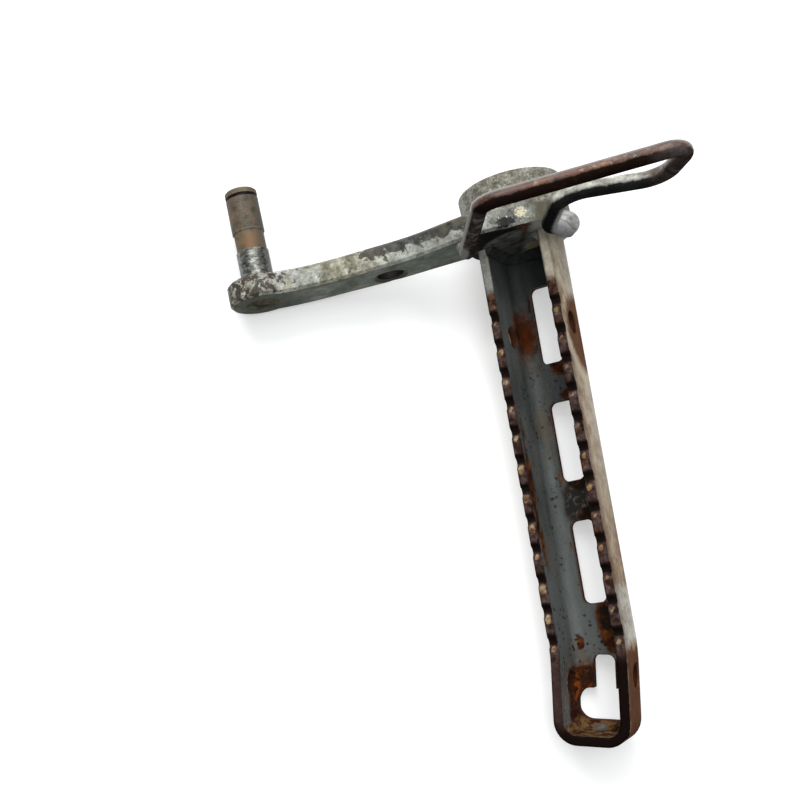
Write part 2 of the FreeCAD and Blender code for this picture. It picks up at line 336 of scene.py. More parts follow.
# rough far part of the boss, a grit of pale and dark grains
grit = n.noise(place, 0.9, 3, 0.7)
boss_coat = n.ramp(n.sum((grit, 0.5), (n.noise(place, 5, 4), 0.5)), *boss_tones)
boss_coat = n.mix(n.span(n.noise(place, 11, 3), 0.50, 0.66), boss_coat, boss_tan, 0.5)
boss_coat = n.mix(n.span(facing["Y"], 0.7, 0.95), boss_coat, boss_end, 0.55)
on_boss = n.all_of(n.span(n.shift(x, ragged), 75, 79), n.span(n.shift(y, ragged), -2.5, -0.5))
colour = n.mix(on_boss, colour, boss_coat)

# front of the boss: smooth silver, pale chips, a dark blot at the edge and brown to the right
shelf = n.all_of(n.span(x, 76, 81), n.span(n.shift(y, ragged), -0.5, -2.0), n.but(flat))
shelf_coat = n.ramp(n.sum((n.noise(place, 5, 5, 0.6), 0.7), (grit, 0.3)), *shelf_tones)
shelf_coat = n.mix(n.span(n.shift(x, ragged), 97.5, 102.5), shelf_coat, shelf_brown, 0.85)
crumbs = n.all_of(
    n.oval((x, 93.0, 7.0), (y, -4.5, 3.4), ragged), n.span(n.noise(place, 1.4, 3), 0.64, 0.68))
chips = n.any_of(n.oval((x, 95.2, 2.1), (y, -4.0, 1.8), n.wobble(place, 1.5, 4.6), 0.5), crumbs)
shelf_coat = n.mix(chips, shelf_coat, n.ramp(grit, *chip_tones))
blot = n.oval((x, 89.4, 3.4), (y, -6.3, 1.7), n.wobble(place, 1.8, 4.0), 0.3)
shelf_coat = n.mix(blot, shelf_coat, blot_black)
colour = n.mix(shelf, colour, shelf_coat)

# near face of the boss, closed in by the tread: slate, black under the rim as a painted shadow, a rust
# run
from_axis = n.distance((x, boss_x), (z, boss_z))
back = n.ramp(n.noise(place, 4, 5, 0.6), *back_tones)
back = n.mix(n.span(n.shift(x, ragged), 97, 100.5), back, back_pale, 0.85)
back = n.mix(n.oval((x, 102.4, 3.4), (z, 3.0, 4.6), ragged), back, back_cream)
shadow_under_rim = n.all_of(n.span(n.shift(from_axis, ragged), 13.5, 15.5), n.span(x, 97, 94))
back = n.mix(shadow_under_rim, back, rim_shadow_black)
run = n.all_of(n.band(n.shift(x, ragged, 1.6), 95.9, 97.5, 1.0), n.span(z, 5, 12), 0.85)
heel = n.all_of(
    n.span(n.shift(from_axis, ragged), 15.0, 16.5), n.band(n.shift(x, ragged), 93.0, 98.0, 1.5))
back = n.mix(n.any_of(run, heel), back, n.mix(n.span(mottle, 0.42, 0.58), run_dark, run_light))
colour = n.mix(n.all_of(n.span(x, 77, 79.5), n.span(facing["Y"], -0.6, -0.9)), colour, back)

# the dished hole, black inside as painted shade; the near edge rubbed bright with a painted highlight but
# given a painted shadow line by the eye, the far edge dark
from_hole = n.distance((x, hole_x), (z, hole_z))
dished = n.all_of(
    n.span(from_hole, hole_r + 1.9, hole_r + 1.3), n.span(n.calc("ABSOLUTE", facing["Y"]), 0.97, 0.93))
colour = n.mix(dished, colour, dish_olive)
colour = n.mix(n.span(from_hole, hole_r + 0.25, hole_r + 0.05), colour, bore_shade_black)
edges = n.effect(edge_effect, place=place, radius=1.2 * mm, amount=1.4)
on_bar = n.all_of(n.span(x, 78, 72), n.span(from_hole, hole_r + 1.8, hole_r + 2.2))
near_edge_wear_and_light = n.mix(n.span(n.shift(x, ragged, 6), 24, 36), near_edge_shadow_line, near_edge_wear_and_highlight)
edge_wear_and_light_colour = n.mix(n.span(y, -4, -6), far_edge_dark, near_edge_wear_and_light)
colour = n.mix(n.all_of(edges["Mask"], on_bar), colour, edge_wear_and_light_colour, 0.7)

n.feed(shader.inputs["Base Color"], colour)
n.feed(shader.inputs["Metallic"], n.blend(painted, 0.3, 0.05))
n.feed(shader.inputs["Roughness"], n.blend(painted, 0.5, 0.62))
n.feed(shader.inputs["Specular IOR Level"], n.blend(flat, 0.3, 0.02))
lips = n.times(flakes["Height"], pits["Height"])
height = n.sum((lips, n.blend(flat, 0.4, 0.02)), (mottle, 0.22), (grit, n.blend(on_boss, 0.05, 0.6)))
n.relief(shader, height, 0.3, 0.6, edge=0.5)


def dress(node, material):
    """Gives a carried-over solid its finish."""
    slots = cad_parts[node].data.materials
    slots.clear()
    slots.append(material)


dress("arm", arm_finish)

# Pivot pin
# Turned steel, riveted into the eye: two ground lands, a relief and a clip groove.
# The land next to the arm is still bright; the rest has gone brown.

relief_at, outer_at, groove_at, disc_at = 11.7, 19.4, 32.6, 33.8
bright_tones = (
    (0.38, (0.022, 0.022, 0.019)), (0.47, (0.090, 0.093, 0.084)), (0.56, (0.20, 0.205, 0.185)),
    (0.66, (0.43, 0.43, 0.39)))
orange_tones = (
    (0.38, (0.060, 0.048, 0.030)), (0.49, (0.115, 0.086, 0.052)), (0.60, (0.165, 0.082, 0.030)))
brown_tones = (
    (0.38, (0.036, 0.032, 0.018)), (0.48, (0.080, 0.064, 0.043)), (0.60, (0.138, 0.090, 0.066)))
disc_tones = ((0.34, (0.040, 0.030, 0.014)), (0.62, (0.130, 0.110, 0.066)))
rivet_tones = ((0.38, (0.045, 0.043, 0.030)), (0.60, (0.125, 0.118, 0.086)))
shaded_side = (0.03, 0.028, 0.022)
groove_shade_black = (0.012, 0.008, 0.006)
step_bright = (0.30, 0.29, 0.25)

pin_finish, n, shader = new_finish("worn turned steel")
place = n.place()
x = n.along(place, (0, 0, 0), (1, 0, 0))
y = n.along(place, (0, 0, 0), (0, 1, 0))
streak = n.noise(n.stretched(place, (0, 0, 0), (1, 9, 1)), 2.6, 5, 0.65)
speck = n.noise(place, 1.5, 5, 0.7)
blotch = n.noise(place, 4.0, 4, 0.62)
bright = n.ramp(n.sum((streak, 0.4), (speck, 0.6)), *bright_tones)
orange = n.ramp(n.sum((blotch, 0.7), (speck, 0.3)), *orange_tones)
brown = n.ramp(n.sum((blotch, 0.65), (streak, 0.35)), *brown_tones)
disc = n.ramp(blotch, *disc_tones)
border = n.shift(y, n.wobble(place, 3, 1.4))
colour = n.mix(n.span(border, relief_at - 0.4, relief_at + 0.4), bright, orange)
colour = n.mix(n.span(border, outer_at - 0.4, outer_at + 0.4), colour, brown)
colour = n.mix(n.span(y, disc_at - 0.2, disc_at + 0.3), colour, disc)
dim = n.span(n.shift(x, n.wobble(place, 4, 3)), 2.0, 6.0)
colour = n.mix(dim, colour, n.mix(0.6, colour, shaded_side))
# painted shade: the clip groove is black
colour = n.mix(n.band(y, groove_at, disc_at, 0.15), colour, groove_shade_black)
steps = n.any_of(
    n.band(y, relief_at - 0.3, relief_at + 0.2, 0.2), n.band(y, outer_at - 0.2, outer_at + 0.2, 0.2))
colour = n.mix(n.all_of(steps, n.span(speck, 0.40, 0.55)), colour, step_bright, 0.6)
rivet = n.span(y, -1.0, -3.0)
colour = n.mix(rivet, colour, n.ramp(blotch, *rivet_tones))
n.feed(shader.inputs["Base Color"], colour)
bare = n.all_of(n.span(y, relief_at + 0.3, relief_at - 0.7), n.but(rivet), 0.75)
n.feed(shader.inputs["Metallic"], bare)
n.feed(shader.inputs["Specular IOR Level"], n.blend(rivet, 0.25, 0.0))
n.feed(shader.inputs["Roughness"], n.blend(n.span(border, relief_at - 0.5, relief_at + 0.4), 0.40, 0.56))
n.relief(shader, n.sum((streak, 0.5), (speck, 0.5)), 0.2, 0.5, edge=0.25)
dress("pivot_pin", pin_finish)

# Tread
# Pressed sheet steel, silver paint outside and slate within. The serrated rims are worn to purple rust,
# with black hollows of rust and painted shadow and pale spots of wear and painted highlight, and the
# floor has rusted through at the tip.

tread_root = Vector((92.2, -8.5, 14.91)) * mm
sweep, droop, roll = math.radians(3.3), math.radians(1.46), math.radians(28)
tread_turn = (
    Matrix.Rotation(-sweep, 3, "Z") @ Matrix.Rotation(droop, 3, "X") @ Matrix.Rotation(-roll, 3, "Y"))
across_way, tip_way, rim_way = tread_turn.col[0], -tread_turn.col[1], tread_turn.col[2]
wall_in, wall_out = 10.05, 13.25
wall_mid = (wall_in + wall_out) / 2
floor_in = -3.2
trough_depth, floor_slope = 26.0, math.tan(math.radians(1.65))
tip_turn_at, tip_slope = 145.0, math.tan(math.radians(8))
end_wall = 174.8
hollow_first, hollow_pitch = 26.5, 10.5
window_starts, window_length = (13, 57, 101), 32
side_holes, hole_half = (32.5, 157.0), 6

slate_tones = ((0.34, (0.032, 0.037, 0.036)), (0.5, (0.056, 0.063, 0.061)), (0.66, (0.088, 0.096, 0.092)))
cream_tones = ((0.39, (0.19, 0.128, 0.082)), (0.49, (0.37, 0.292, 0.208)), (0.59, (0.54, 0.470, 0.372)))
pale_tones = ((0.36, (0.26, 0.24, 0.20)), (0.5, (0.475, 0.455, 0.40)), (0.62, (0.60, 0.585, 0.53)))
skin_brown_tones = (
    (0.34, (0.070, 0.031, 0.017)), (0.5, (0.140, 0.070, 0.040)), (0.66, (0.215, 0.125, 0.080)))
warm_tones = ((0.39, (0.26, 0.190, 0.132)), (0.49, (0.45, 0.385, 0.295)), (0.59, (0.62, 0.570, 0.48)))
land_tones = (
    (0.36, (0.012, 0.007, 0.006)), (0.48, (0.042, 0.025, 0.022)), (0.60, (0.085, 0.056, 0.050)),
    (0.72, (0.16, 0.122, 0.108)))
wear_and_highlight_tones = ((0.40, (0.11, 0.056, 0.020)), (0.5, (0.22, 0.150, 0.080)), (0.62, (0.42, 0.35, 0.25)))
root_rim_tones = ((0.36, (0.20, 0.195, 0.17)), (0.6, (0.42, 0.42, 0.385)))
slate_by_tip = (0.135, 0.145, 0.141)
slate_dirt_and_shade = (0.026, 0.033, 0.032)
slate_stain = (0.082, 0.058, 0.034)
low_cream = (0.50, 0.46, 0.385)
drop_rim = (0.52, 0.45, 0.35)
drop_brown = (0.125, 0.060, 0.034)
tip_brown = (0.095, 0.036, 0.018)
shade_brown = (0.100, 0.058, 0.043)
run_brown = (0.17, 0.104, 0.062)
halo_brown = (0.055, 0.042, 0.026)
bloom_red = (0.052, 0.014, 0.004)
tip_dark_rust = (0.022, 0.007, 0.0035)
tip_ochre = (0.15, 0.090, 0.036)
glow_orange = (0.20, 0.048, 0.008)
core_brown = (0.022, 0.009, 0.005)
pit_black = (0.010, 0.009, 0.007)
hollow_rust_and_shadow_black = (0.0075, 0.005, 0.004)
wear_and_highlight_ochre = (0.17, 0.095, 0.035)
tip_rim_brown = (0.040, 0.022, 0.019)
tip_rim_black = (0.006, 0.0035, 0.003)
root_rim_rust = (0.13, 0.052, 0.016)
bore_rust = (0.030, 0.011, 0.006)
cut_brown = (0.030, 0.018, 0.012)
edge_brown = (0.025, 0.016, 0.011)

tread_finish, n, shader = new_finish("worn paint and rust on pressed steel")
place = n.place()
along = n.along(place, tread_root, tip_way)
below = n.along(place, tread_root, -rim_way)
lean = n.times(n.calc("MAXIMUM", n.shift(along, -tip_turn_at), 0.0), tip_slope)
across = n.shift(n.along(place, tread_root, across_way), lean)
aside = n.calc("ABSOLUTE", across)
under = n.shift(n.sum((below, 1.0), (along, floor_slope)), -trough_depth)
up_wall = n.calc("MAXIMUM", n.calc("SUBTRACT", floor_in, under), 0.0)
unrolled = n.shift(across, n.calc("SIGN", across), up_wall)
ragged = n.wobble(place, 4, 1.8)
jagged = n.wobble(place, 1.8, 2.2)
sway = n.wobble(place, 14, 1.0)
drawn = n.stretched(place, (0, 0, sweep), (1, 0.3, 1))
fine = n.noise(place, 0.9, 5, 0.7)
medium = n.noise(place, 2.6, 5, 0.65)
cloud = n.noise(place, 6, 4, 0.6)
rust = n.effect(rust_effect, place=place, amount=0.9, fineness=1 / 5.0)

# slate within: dull, drawn out along the pressing, black at the root with dirt and painted shade, and
# paler to the tip
slate = n.ramp(n.sum((n.noise(drawn, 5, 5, 0.6), 0.6), (fine, 0.4)), *slate_tones)
slate = n.mix(n.span(n.shift(along, sway, 20), 70, 150), slate, slate_by_tip, 0.45)
root_dirt_and_shade = n.all_of(n.span(n.shift(along, sway, 12), 24, 10), n.span(up_wall, 14, 4))
slate = n.mix(root_dirt_and_shade, slate, slate_dirt_and_shade, 0.5)
stain = n.all_of(n.span(n.noise(drawn, 7, 4, 0.6), 0.52, 0.66), n.span(along, 30, 60), 0.6)
slate = n.mix(stain, slate, slate_stain)

# outside: pale by the root, cream turning brown, one pale stretch before the tip, and on the right
# wall a brown drop round the hole, a paler lower half and brown runs under the rim
skin_tone = n.sum((n.noise(drawn, 9, 4, 0.6), 0.30), (cloud, 0.34), (medium, 0.24), (fine, 0.12))
cream = n.ramp(skin_tone, *cream_tones)
pale = n.ramp(skin_tone, *pale_tones)
brown = n.ramp(skin_tone, *skin_brown_tones)
cream = n.mix(n.all_of(n.span(cloud, 0.40, 0.60), n.span(along, 78, 112)), cream, brown, 0.6)
right = n.span(across, -2, 2)
stretch = n.band(n.shift(n.shift(along, ragged, 4), sway, 5), 126.5, 146, 2.0)
stretch = n.all_of(right, stretch, n.blend(n.span(medium, 0.36, 0.5), 0.55, 1.0))
pale_part = n.any_of(n.span(n.shift(along, sway, 12), 24, 12), stretch)
warm = n.ramp(skin_tone, *warm_tones)
skin = n.mix(pale_part, cream, n.mix(n.span(along, 40, 20), pale, warm))
low_half = n.all_of(
    right, n.span(n.shift(below, ragged, 3), 8, 16), n.span(n.shift(along, sway, 8), 112, 92), 0.6)
skin = n.mix(low_half, skin, n.mix(0.5, pale, low_cream))
drop_edge = n.oval((along, 38, 16.5), (below, 16.5, 14.6), n.times(ragged, 0.25), 0.25)
skin = n.mix(n.all_of(drop_edge, right, n.span(along, 28, 36)), skin, drop_rim, 0.8)
drop_half = n.blend(n.span(along, 30, 52), 13.0, 10.5)
drop = n.oval((along, 36, 14.2), (below, 17.5, drop_half), n.sum((ragged, 0.45), (jagged, 0.25)), 0.4)
skin = n.mix(n.all_of(drop, right), skin, n.mix(0.6, brown, drop_brown))
brown_tip = n.all_of(
    n.span(n.shift(along, ragged, 3), 145.5, 149), n.span(n.shift(below, ragged, 2), 0.8, 2.8))
skin = n.mix(brown_tip, skin, n.mix(0.7, brown, tip_brown), 0.95)
skin = n.mix(n.span(n.shift(under, ragged, 2), -3.5, 0.0), skin, brown, 0.6)
shaded = n.all_of(
    n.span(n.shift(below, ragged, 2), 8.0, 2.5), n.band(n.shift(along, sway, 8), 44, 148, 6), 0.55)
skin = n.mix(shaded, skin, shade_brown)
run_down = n.all_of(
    right, n.band(n.shift(along, ragged, 5), 7, 27, 3), n.span(n.shift(below, ragged, 2), 6, 2),
    n.span(medium, 0.38, 0.54))
skin = n.mix(run_down, skin, run_brown, 0.6)
outside = n.any_of(
    n.span(aside, wall_in + 1.4, wall_in + 2.0), n.span(under, -2.2, -1.2),
    n.span(along, end_wall, end_wall + 0.8))
inside = n.but(outside)
colour = n.mix(outside, slate, skin)

# rust within: a bloom at the near hole, the bridges, the window edges and the whole tip, where
# a scrap of paint is left on the end wall
left_strip = n.all_of(
    n.band(n.shift(along, ragged, 4), 66, 116, 8), n.span(n.shift(below, ragged, 2.0), 8.0, 4.5),
    n.span(across, 0, -2), n.span(n.noise(drawn, 4, 4), 0.40, 0.52))
bloom = n.oval((along, 30.8, 8.2), (unrolled, -10.8, 7.2), ragged, 0.8)
by_window = n.any_of(*(n.band(along, start, start + window_length, 1.0) for start in window_starts))
window_rim = n.all_of(
    n.band(n.shift(aside, ragged, 0.9), 4.7, 5.6, 0.5), n.span(cloud, 0.50, 0.60), 0.85, by_window)
bridges = n.any_of(
    n.oval((along, 45.2, 3.4), (across, 3.0, 4.0), ragged),
    n.oval((along, 56.0, 2.4), (across, 5.0, 4.5), ragged),
    n.oval((along, 88.5, 2.6), (across, 3.0, 5.0), ragged),
    n.oval((along, 100.5, 3.0), (across, 3.6, 4.4), ragged),
    n.oval((along, 144.3, 2.6), (unrolled, -8.4, 1.9), jagged),
    n.oval((along, 139.5, 9.5), (across, 4.0, 4.8), ragged))
end_inside = n.all_of(n.span(along, 169, 171), n.span(aside, 10.4, 9.4), n.span(below, 0.8, 2.2))
tip_low = n.any_of(n.span(n.shift(up_wall, ragged, 2.5), 10.5, 7.5), end_inside)
tip_rust = n.all_of(n.span(n.shift(along, ragged, 4), 150.5, 153.5), tip_low)
scrap = n.oval((up_wall, 3.2, 2.6), (across, -1.4, 2.7), n.times(ragged, 0.5))
scrap = n.all_of(scrap, n.span(along, 171.8, 172.6))
rusted = n.all_of(n.any_of(bloom, left_strip, window_rim, bridges, tip_rust), inside, n.but(scrap))
halo = n.all_of(inside, n.any_of(
    n.oval((along, 31.5, 12.0), (unrolled, -10.4, 9.0), ragged, 0.7),
    n.oval((along, 94.5, 11.0), (across, 2.0, 7.0), ragged, 0.6),
    n.span(n.shift(along, ragged, 6), 144, 154)), n.span(medium, 0.40, 0.56))
colour = n.mix(halo, colour, n.mix(0.5, rust["Colour"], halo_brown), 0.7)
rust_colour = n.mix(bloom, rust["Colour"], bloom_red, 0.8)
rust_colour = n.mix(n.all_of(tip_rust, n.span(medium, 0.62, 0.46)), rust_colour, tip_dark_rust, 0.88)
end_patches = n.all_of(n.span(along, 168, 171), n.span(medium, 0.44, 0.56))
rust_colour = n.mix(end_patches, rust_colour, tip_ochre, 0.7)
glow = n.all_of(
    tip_rust, n.oval((along, 160, 5.5), (unrolled, -12.0, 2.6), ragged, 0.9), n.span(medium, 0.40, 0.56))
rust_colour = n.mix(glow, rust_colour, glow_orange, 0.75)
core = n.all_of(bloom, n.oval((along, 31.0, 3.6), (unrolled, -15.2, 2.0), ragged, 0.6))
rust_colour = n.mix(core, rust_colour, core_brown, 0.8)
colour = n.mix(rusted, colour, rust_colour)

# the second bridge has lifted in black flakes; black specks have eaten through elsewhere
lifted = n.any_of(
    n.oval((along, 94.8, 9.0), (across, 1.6, 7.0), ragged),
    n.oval((along, 137.5, 5.0), (across, 3.0, 2.2), ragged))
flaky = n.all_of(lifted, n.span(n.sum((medium, 0.65), (fine, 0.35)), 0.43, 0.50), inside)
specks = n.add("ShaderNodeTexVoronoi", {"Vector": place, "Scale": 1 / (1.9 * mm)}).outputs["Distance"]
eaten = n.all_of(
    n.span(n.shift(specks, n.wobble(place, 1, 0.9)), 0.34, 0.22), n.span(cloud, 0.48, 0.56),
    n.span(along, 40, 46), inside)
pitted = n.any_of(flaky, eaten)
colour = n.mix(pitted, colour, pit_black, 0.92)

# rims: purple-brown lands, each hollow black towards the root, dark rust with painted shadow, with a pale
# spot of its own size on the other side, wear with a painted highlight; pale at the root and black round
# the tip
tooth = n.shift(n.calc("DIVIDE", n.shift(along, -hollow_first), hollow_pitch), 0.5)
in_hollow = n.times(n.shift(n.calc("FRACT", tooth), -0.5), hollow_pitch)
in_hollow = n.shift(in_hollow, jagged, 0.7)
toothed = n.all_of(n.span(along, 21.5, 23), n.span(along, 148.0, 147.0))
hollow_rust_and_shadow = n.all_of(toothed, n.band(in_hollow, -3.2, 0.6, 0.6))
seed = n.sum((n.calc("FLOOR", tooth), 1.0), (n.calc("SIGN", across), 37.0))
own = n.add("ShaderNodeTexWhiteNoise", {"W": seed}, noise_dimensions="1D").outputs["Value"]
wear_and_highlight_size = n.all_of(n.blend(own, 0.62, 1.30), n.blend(right, 1.08, 0.80))
wear_and_highlight_spot = n.oval(
    (in_hollow, n.blend(own, 1.7, 2.7), n.times(wear_and_highlight_size, 1.2)),
    (aside, wall_mid, n.times(wear_and_highlight_size, 0.95)), n.times(jagged, 1.2), 0.45)
wear_and_highlight_spot = n.all_of(toothed, wear_and_highlight_spot)
rim_reach = n.blend(outside, 1.0, n.blend(hollow_rust_and_shadow, 1.5, 2.4))
in_wall = n.all_of(n.band(aside, wall_in + 0.1, wall_out - 0.1, 0.08), n.span(below, 3.4, 2.6))
rim = n.any_of(in_wall, n.span(n.calc("SUBTRACT", n.shift(below, jagged, 0.8), rim_reach), 0.8, -0.5))
land = n.ramp(medium, *land_tones)
land = n.mix(n.span(cloud, 0.54, 0.64), land, rust["Colour"], 0.4)
land = n.mix(hollow_rust_and_shadow, land, hollow_rust_and_shadow_black, 0.95)
wear_and_highlight_colour = n.ramp(n.sum((medium, 0.6), (cloud, 0.4)), *wear_and_highlight_tones)
wear_and_highlight_colour = n.mix(right, wear_and_highlight_colour, wear_and_highlight_ochre, 0.45)
land = n.mix(n.all_of(wear_and_highlight_spot, n.blend(n.span(cloud, 0.38, 0.5), 0.55, 0.95)), land, wear_and_highlight_colour)
land = n.mix(n.span(n.shift(along, ragged, 3), 146, 151), land, tip_rim_brown, 0.8)
tip_black = n.any_of(
    n.span(n.shift(along, ragged, 4), 163, 173), n.all_of(n.span(along, 146, 152), right))
land = n.mix(tip_black, land, tip_rim_black, 0.97)
pale_rim = n.ramp(n.sum((fine, 0.5), (cloud, 0.5)), *root_rim_tones)
root_rust = n.all_of(n.band(n.shift(along, ragged, 3), 16.5, 23, 2.0), n.span(medium, 0.42, 0.60))
land = n.mix(root_rust, land, root_rim_rust, 0.65)
land = n.mix(n.span(n.shift(along, ragged, 4), 19, 14), land, n.mix(right, pale_rim, warm, 0.7))
colour = n.mix(rim, colour, land)

# cut faces of the holes, windows and slot are rusty
by_hole = n.any_of(*(n.band(along, hole - hole_half, hole + hole_half, 0.5) for hole in side_holes))
bore = n.all_of(
    n.band(aside, wall_in + 0.6, wall_out - 0.45, 0.25), n.band(below, 5.5, 17.2, 0.6), by_hole)
colour = n.mix(bore, colour, n.mix(0.75, rust["Colour"], bore_rust))
level = n.calc("ABSOLUTE", n.dot(n.normal(), rim_way))
cut = n.all_of(
    n.band(under, floor_in + 0.35, -0.35, 0.15), n.span(aside, 9.6, 9.0), n.span(level, 0.6, 0.4),
    n.span(along, end_wall - 0.6, end_wall - 1.4))
colour = n.mix(cut, colour, n.mix(0.45, rust["Colour"], cut_brown))
edges = n.effect(edge_effect, place=place, radius=0.7 * mm, amount=1.0)
colour = n.mix(n.all_of(edges["Mask"], n.but(rim)), colour, n.mix(0.5, rust["Colour"], edge_brown), 0.7)

n.feed(shader.inputs["Base Color"], colour)
rough_parts = n.any_of(rusted, rim, n.times(outside, 0.7))
n.feed(shader.inputs["Roughness"], n.blend(rough_parts, 0.60, 0.74))
dull = n.any_of(rim, outside)
n.feed(shader.inputs["Specular IOR Level"], n.blend(dull, n.blend(rusted, 0.20, 0.02), 0.0))
height = n.sum(
    (fine, n.blend(rough_parts, 0.16, 0.6)), (medium, n.blend(rim, 0.15, 0.9)), (pitted, -0.4),
    (rusted, 0.25))
n.relief(shader, height, 0.4, 0.55, edge=0.6)
dress("tread", tread_finish)

# Tread weld
# Fillet weld run round the inside of the trough where it meets the boss,
# painted slate with the trough and dark with grime and painted shade.

grime_and_shade_tones = ((0.36, (0.020, 0.022, 0.021)), (0.5, (0.042, 0.046, 0.044)), (0.64, (0.080, 0.086, 0.081)))
rubbed_weld = (0.26, 0.26, 0.235)

root_finish, n, shader = new_finish("slate paint on a grimy, shaded weld")
place = n.place()
x = n.along(place, (0, 0, 0), (1, 0, 0))
z = n.along(place, (0, 0, 0), (0, 0, 1))
tone = n.sum((n.noise(place, 2.4, 5, 0.65), 0.6), (n.noise(place, 6, 3), 0.4))
colour = n.ramp(tone, *grime_and_shade_tones)
colour = n.mix(n.all_of(n.span(z, 14, 22), n.span(x, 97, 100)), colour, rubbed_weld, 0.7)
n.feed(shader.inputs["Base Color"], colour)
n.feed(shader.inputs["Roughness"], 0.7)
n.feed(shader.inputs["Specular IOR Level"], 0.15)
n.relief(shader, tone, 0.4, 0.5, edge=0.8)
dress("tread_weld", root_finish)

# Boot guard
# Round steel rod bent to a loop and welded by its two feet to bar and boss.
# The upper leg is rusted dark; the lower leg still carries its silver paint on top.

rod_tones = (
    (0.38, (0.020, 0.008, 0.005)), (0.48, (0.082, 0.031, 0.015)), (0.58, (0.158, 0.070, 0.034)),
    (0.70, (0.27, 0.175, 0.115)))
bend_tones = ((0.40, (0.030, 0.022, 0.020)), (0.60, (0.105, 0.090, 0.086)))
rod_silver_tones = ((0.38, (0.13, 0.13, 0.108)), (0.5, (0.33, 0.33, 0.29)), (0.62, (0.60, 0.60, 0.53)))
leg_tones = ((0.38, (0.013, 0.010, 0.009)), (0.5, (0.042, 0.033, 0.030)), (0.64, (0.16, 0.140, 0.130)))
bare_and_reflection_tones = ((0.36, (0.19, 0.185, 0.185)), (0.6, (0.33, 0.325, 0.325)))
streak_red = (0.115, 0.036, 0.018)
scuff_grey = (0.26, 0.23, 0.20)
corner_purple = (0.052, 0.031, 0.027)
sky_reflection_grey = (0.175, 0.166, 0.158)
underside_shade_black = (0.0065, 0.0045, 0.0035)
silver_underside_shade = (0.006, 0.008, 0.0075)
foot_grey = (0.27, 0.265, 0.245)
leg_highlight = (0.36, 0.35, 0.33)
leg_shaded_side = (0.014, 0.011, 0.009)
inner_shade_black = (0.009, 0.010, 0.009)

guard_finish, n, shader = new_finish("rusted rod with silver paint left on it")
place = n.place()
x = n.along(place, (0, 0, 0), (1, 0, 0))
z = n.along(place, (0, 0, 0), (0, 0, 1))
facing = n.facing()
ragged = n.wobble(place, 3, 1.0)
long_grain = n.stretched(place, (0, math.radians(12), 0), (0.35, 1, 1))
tone = n.sum((n.noise(long_grain, 2.6, 5, 0.62), 0.65), (n.noise(place, 0.8, 4, 0.7), 0.35))
dark = n.ramp(tone, *rod_tones)
rust = n.effect(rust_effect, place=place, amount=0.50, fineness=1 / 8.0)
dark = n.mix(rust["Mask"], dark, n.mix(0.5, rust["Colour"], streak_red), 0.6)
scuff = n.effect(chip_effect, place=place, amount=0.26, fineness=1 / 2.5)
dark = n.mix(scuff["Mask"], dark, scuff_grey, 0.5)
corner = n.all_of(n.span(n.shift(x, ragged, 6), 98, 82), n.span(z, 58, 62), 0.65)
dark = n.mix(corner, dark, corner_purple)
# painted reflection: grey on the side turned away; painted shade: black on the near side
sky_reflection = n.span(n.shift(facing["Y"], ragged, 0.5), 0.30, 0.62)
underside_shade = n.span(n.shift(facing["Y"], ragged, 0.6), -0.04, -0.34)
dark = n.mix(sky_reflection, dark, sky_reflection_grey, 0.75)
dark = n.mix(underside_shade, dark, underside_shade_black, 0.95)
bend = n.span(n.shift(x, ragged, 8), 126, 136)
dark = n.mix(bend, dark, n.ramp(tone, *bend_tones), 0.65)
silver = n.ramp(tone, *rod_silver_tones)
silver = n.mix(underside_shade, silver, silver_underside_shade, 0.97)
lower = n.calc("SUBTRACT", n.shift(n.times(x, 0.10), 54.0), z)
lower_leg = n.all_of(
    n.span(n.shift(lower, ragged, 3), -0.5, 1.5), n.span(x, 100, 102),
    n.span(n.shift(x, ragged, 14), 136, 128))
kept = n.effect(chip_effect, place=place, amount=0.80, fineness=1 / 4.0)
painted = n.all_of(lower_leg, n.blend(kept["Mask"], 0.4, 1.0))
colour = n.mix(painted, dark, silver)
# first leg: dark, a painted highlight down its outer side and painted shade on the other, grey at the
# foot
first_leg = n.all_of(n.span(x, 82, 80), n.span(z, 66, 60))
leg_tone = n.ramp(tone, *leg_tones)
foot = n.all_of(n.span(n.shift(z, ragged, 8), 35, 27), n.span(n.shift(facing["X"], ragged), 0.0, -0.5))
leg_tone = n.mix(foot, leg_tone, foot_grey, 0.8)
leg_tone = n.mix(n.span(facing["X"], -0.84, -0.97), leg_tone, leg_highlight, 0.8)
leg_tone = n.mix(n.span(facing["X"], 0.35, 0.75), leg_tone, leg_shaded_side, 0.85)
colour = n.mix(first_leg, colour, leg_tone)
# last leg: black painted shade on the inner side, bare lavender grey on the outer side and the foot, with
# a painted reflection of the floor on the outer side
last_leg = n.all_of(n.span(n.shift(z, ragged, 3), 56, 50), n.span(x, 90, 92))
bare_grey_and_reflection = n.ramp(tone, *bare_and_reflection_tones)
turned_in_shade = n.all_of(n.span(n.shift(facing["X"], ragged, 0.4), 0.32, -0.25), n.span(z, 25, 31))
colour = n.mix(last_leg, colour, n.mix(turned_in_shade, bare_grey_and_reflection, inner_shade_black))
n.feed(shader.inputs["Base Color"], colour)
n.feed(shader.inputs["Roughness"], n.blend(painted, 0.27, 0.46))
n.feed(shader.inputs["Specular IOR Level"], n.blend(n.any_of(underside_shade, first_leg), 0.22, 0.0))
n.relief(shader, n.sum((tone, 0.8), (kept["Height"], 0.2)), 0.3, 0.45)
dress("boot_guard", guard_finish)

# Guard welds
# Mounds of weld at the rod's two feet, smooth and bare grey with a little dirt, with painted shade where
# they face down.

